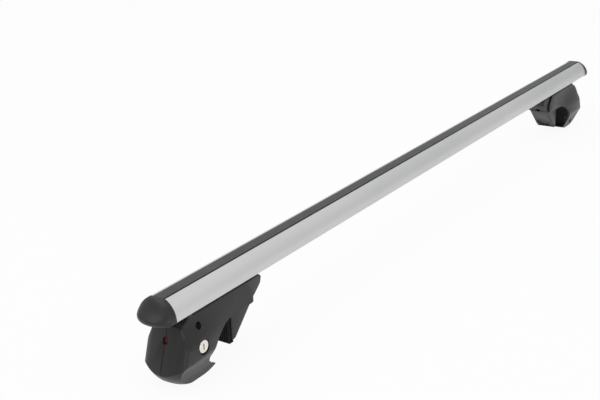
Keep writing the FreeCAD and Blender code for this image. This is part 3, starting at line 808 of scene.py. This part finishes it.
@dataclass
class Foot:
    """One lockable foot: its housing, jaw, bolt, lock and shutter."""

    side: Side
    rail_distance: float
    plain_shell_ease: float = 0.4 * MM
    arm_end: Span = Span((-57.2, -22, 51.4), (-56.8, 22, 51.6))
    arm_end_radius: float = 2.8 * MM
    arm_shoulder: Span = Span((-57.2, -22, 65.9), (-56.8, 22, 66.1))
    arm_shoulder_radius: float = 3.0 * MM
    ledge: Span = Span((55, 14, 44), (80, 31, 81.7))
    jaw_ease: float = 0.5 * MM
    rubber_ease: float = 0.15 * MM
    shutter_ease: float = 0.2 * MM
    plug_ease: float = 0.2 * MM
    barrel_ease: float = 0.3 * MM
    keyway: Triple = (45.8, 0, 42.8)
    keyway_reach: float = 5 * MM
    keyway_bottom: float = 24 * MM
    keyway_mouth: float = 28.5 * MM
    # The dark lip is painted shade for the shadowed gap under the bar's edge.
    lip: Span = Span((-42, -21.5, 80.4), (49, 21.5, 82.9))
    lip_ease: float = 0.6 * MM
    lip_facets: int = 3
    lip_crisp: float = 30.0

    def name(self, part: str) -> str:
        """Full name of a node or body of this foot."""
        return f"{self.side.word}_{part}"

    def place(self, out: float, across: float, up: float) -> Vector:
        """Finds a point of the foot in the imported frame.

        Args:
            out: millimetres from the rail's line towards the bar's end.
            across: millimetres from the bar's middle towards the lock.
            up: millimetres above the ground.

        Returns:
            The point in metres.
        """
        sign = self.side.value
        return Vector((sign * (self.rail_distance + out * MM), sign * across * MM, up * MM))

    def zone(self, span: Span) -> Zone:
        """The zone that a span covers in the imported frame."""
        ends = list(zip(self.place(*span.near), self.place(*span.far)))
        return Zone(Vector([min(pair) for pair in ends]), Vector([max(pair) for pair in ends]))

    def in_keyway(self, middle: Vector, _normal: Vector) -> bool:
        """Tells whether a face of the lock plug lies inside its keyway.

        Args:
            middle: the middle of the face.
            _normal: its normal, which isn't needed.

        Returns:
            True inside the keyway.
        """
        offset = middle - self.place(*self.keyway)
        beside = math.hypot(offset.x, offset.z) < self.keyway_reach
        return beside and self.keyway_bottom < abs(offset.y) < self.keyway_mouth

    def soft(
        self, part: str, body: str, slot: str, finish: Finish, ease: float = 0.0, **more: object
    ) -> bpy.types.Object:
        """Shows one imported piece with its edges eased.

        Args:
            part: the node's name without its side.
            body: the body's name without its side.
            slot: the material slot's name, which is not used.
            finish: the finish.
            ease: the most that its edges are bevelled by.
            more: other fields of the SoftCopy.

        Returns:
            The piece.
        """
        return SoftCopy(self.name(part), self.name(body), slot, finish, ease, **more).build()

    def plain(self, part: str, finish: Finish) -> bpy.types.Object:
        """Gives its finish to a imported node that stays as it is.

        Args:
            part: the node's name without its side.
            finish: the finish.

        Returns:
            The node's object.
        """
        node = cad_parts[self.name(part)]
        WARDROBE.dress(node, finish)
        return node

    def housing(self) -> list[bpy.types.Object]:
        """Shows the two moulded shells and the rubber in their throat.

        The lock-side shell has edges too short for a bevel, so only its arm and step are softened.

        Returns:
            The three pieces.
        """
        arm = (
            Rounding(self.zone(self.arm_end), self.arm_end_radius),
            Rounding(self.zone(self.arm_shoulder), self.arm_shoulder_radius),
        )
        ledge = (MeltedStep(self.zone(self.ledge)),)
        look = ("foot", "housing_plastic", HOUSING)
        return [
            self.soft("lock_side_shell", *look, roundings=arm, steps=ledge),
            self.soft("plain_side_shell", *look, self.plain_shell_ease, roundings=arm),
            self.soft("hook_liner", "foot", "liner_rubber", LINER, self.rubber_ease),
        ]

    def jaw(self) -> list[bpy.types.Object]:
        """Shows the sliding jaw and its rubber pad.

        Returns:
            The two pieces.
        """
        return [
            self.soft("jaw_block", "jaw", "jaw_plastic", JAW, self.jaw_ease),
            self.soft("jaw_pad", "jaw", "liner_rubber", LINER, self.rubber_ease),
        ]

    def lock(self) -> list[bpy.types.Object]:
        """Shows the red shutter, darkened by painted shade, and the lock, whose keyway gets painted
        shade.

        Returns:
            The three pieces.
        """
        # The faces inside the keyway take painted shade.
        keyway = Patch(KEYWAY_SHADOW, self.in_keyway)
        return [
            # The shutter's dark tone is painted shade.
            self.soft("shutter", "shutter", "shutter_plastic", SHUTTER_WITH_SHADE, self.shutter_ease),
            self.soft("lock_plug", "lock", "lock_metal", LOCK, self.plug_ease, patch=keyway),
            self.soft("lock_housing", "foot", "lock_metal", LOCK, self.barrel_ease),
        ]

    def saddle(self) -> bpy.types.Object:
        """Lays the saddle pad with a thin dark lip added, which is painted shade for the shadowed gap
        between the foot and the bar.

        Returns:
            The pad.
        """
        maker = merged_copy(self.name("saddle_pad"))
        corners = (self.place(*self.lip.near), self.place(*self.lip.far))
        # The lip is painted shade: a dark box where the gap under the bar lies in shadow.
        lip = bmesh.ops.create_cube(maker, size=1.0, matrix=span_box(*corners))
        around = {edge for vert in lip["verts"] for edge in vert.link_edges}
        round_edges(maker, around, self.lip_ease, self.lip_facets)
        smooth(maker, self.lip_crisp)
        pad = new_piece(self.name("saddle_pad_lipped"), maker)
        WARDROBE.dress(pad, PAD)
        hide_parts(self.name("saddle_pad"))
        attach(pad, self.name("foot"))
        return pad

    def build(self) -> list[bpy.types.Object]:
        """Dresses every piece of the foot.

        Returns:
            The pieces.
        """
        zinc = ("bracket", "slot_plate", "bolt_washer", "jaw_nut", "lock_cam")
        dark = ("slot_screws", "shell_screws", "clamp_bolt")
        return [
            *self.housing(),
            *self.jaw(),
            *self.lock(),
            *(self.plain(part, ZINC) for part in zinc),
            *(self.plain(part, SCREW) for part in dark),
            self.saddle(),
        ]


@dataclass(frozen=True)
class SoftLamp:
    """A large square lamp, its size in metres and its power in watts."""

    name: str
    place: Triple
    size: float
    power: float

    def hang(self, aim: Vector) -> bpy.types.Object:
        """Hangs the lamp.

        Args:
            aim: the point that it faces.

        Returns:
            The lamp.
        """
        data = bpy.data.lights.new(self.name, "AREA")
        data.shape = "SQUARE"
        data.size = self.size
        data.energy = self.power
        lamp = bpy.data.objects.new(self.name, data)
        bpy.context.scene.collection.objects.link(lamp)
        lamp.location = self.place
        ahead = aim - Vector(self.place)
        lamp.rotation_euler = ahead.to_track_quat("-Z", "Y").to_euler()
        return lamp


@dataclass
class Studio:
    """Pale floor, soft light and the camera."""

    camera_place: Triple = (-1.3425, -0.7119, 0.5898)
    yaw: float = 54.81
    pitch: float = 20.37
    roll: float = -2.33
    lens: float = 63.6
    sensor: float = 36.0
    clip_start: float = 0.05
    clip_end: float = 60.0
    floor_reach: float = 12.0
    floor_tone: float = 0.86
    floor_glow: float = 0.92
    sky_tone: Tone = (0.985, 0.99, 1.0)
    horizon: float = 0.55
    zenith: float = 0.95
    lamp_aim: Triple = (0.0, 0.0, 0.08)
    lamps: tuple[SoftLamp, ...] = (
        SoftLamp("key_lamp", (-1.4, 0.6, 2.2), 1.6, 9.0),
        SoftLamp("fill_lamp", (-0.6, -2.4, 1.6), 2.0, 5.0),
        SoftLamp("rim_lamp", (-2.1, -2.4, 0.55), 0.5, 8.0),
    )

    def camera(self) -> bpy.types.Object:
        """Places the camera at the photograph's angle.

        Returns:
            The camera.
        """
        data = bpy.data.cameras.new("view_camera")
        data.lens = self.lens
        data.sensor_width = self.sensor
        data.clip_start = self.clip_start
        data.clip_end = self.clip_end
        view = bpy.data.objects.new("view_camera", data)
        bpy.context.scene.collection.objects.link(view)
        yaw, pitch, roll = (math.radians(angle) for angle in (self.yaw, self.pitch, self.roll))
        flat = math.cos(pitch)
        ahead = Vector((math.sin(yaw) * flat, math.cos(yaw) * flat, -math.sin(pitch)))
        level = Vector((math.cos(yaw), -math.sin(yaw), 0.0))
        upright = level.cross(ahead)
        right = level * math.cos(roll) + upright * math.sin(roll)
        up = upright * math.cos(roll) - level * math.sin(roll)
        turn = Matrix((right, up, -ahead)).transposed().to_4x4()
        view.matrix_world = Matrix.Translation(self.camera_place) @ turn
        bpy.context.scene.camera = view
        return view

    def floor(self) -> bpy.types.Object:
        """Lays the floor, which the camera sees nearly white and which keeps the soft shadow.

        Returns:
            The floor.
        """
        maker = bmesh.new()
        bmesh.ops.create_grid(maker, x_segments=1, y_segments=1, size=self.floor_reach)
        ground = new_piece("studio_floor", maker)
        material = bpy.data.materials.new("pale_floor")
        board = StageBoard(material, "ShaderNodeOutputMaterial")
        tone = self.floor_tone
        paint = board.node("ShaderNodeBsdfDiffuse", Color=(tone, tone, tone, 1.0))
        glow = board.node("ShaderNodeEmission", Strength=1.0)
        share = board.node("ShaderNodeMath", {"operation": "MULTIPLY"})
        share.inputs[1].default_value = self.floor_glow
        board.wire(board.seen_or_mirrored(), share.inputs[0])
        board.blend(share.outputs["Value"], paint, glow)
        ground.data.materials.append(material)
        return ground

    def sky(self) -> bpy.types.World:
        """Sets a pale world that grows brighter upward and that the camera sees as white.

        Returns:
            The world.
        """
        world = bpy.data.worlds.new("studio_world")
        bpy.context.scene.world = world
        board = StageBoard(world, "ShaderNodeOutputWorld")
        graded = board.node("ShaderNodeBackground", Color=(*self.sky_tone, 1.0))
        place = board.node("ShaderNodeTexCoord")
        axes = board.node("ShaderNodeSeparateXYZ")
        height = board.node("ShaderNodeMapRange", To_Min=self.horizon, To_Max=self.zenith)
        board.wire(place.outputs["Generated"], axes.inputs["Vector"])
        board.wire(axes.outputs["Z"], height.inputs["Value"])
        board.wire(height.outputs["Result"], graded.inputs["Strength"])
        white = board.node("ShaderNodeBackground", Color=WHITE, Strength=1.0)
        board.blend(board.path.outputs["Is Camera Ray"], graded, white)
        return world

    def build(self) -> None:
        """Sets up the whole studio."""
        bpy.context.scene.view_settings.view_transform = "Standard"
        self.camera()
        self.sky()
        self.floor()
        for lamp in self.lamps:
            lamp.hang(Vector(self.lamp_aim))


def main() -> None:
    """Builds the studio and the sub-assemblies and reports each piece."""
    logging.basicConfig(level=logging.INFO, format="%(name)s: %(message)s")
    Studio().build()
    left_foot = Foot(Side.LEFT, rail_distance=0.521)
    right_foot = Foot(Side.RIGHT, rail_distance=0.491)
    for assembly in (Beam(), left_foot, right_foot):
        for piece in assembly.build():
            LOG.info("%s has %d faces", piece.name, len(piece.data.polygons))


if __name__ == "__main__":
    main()
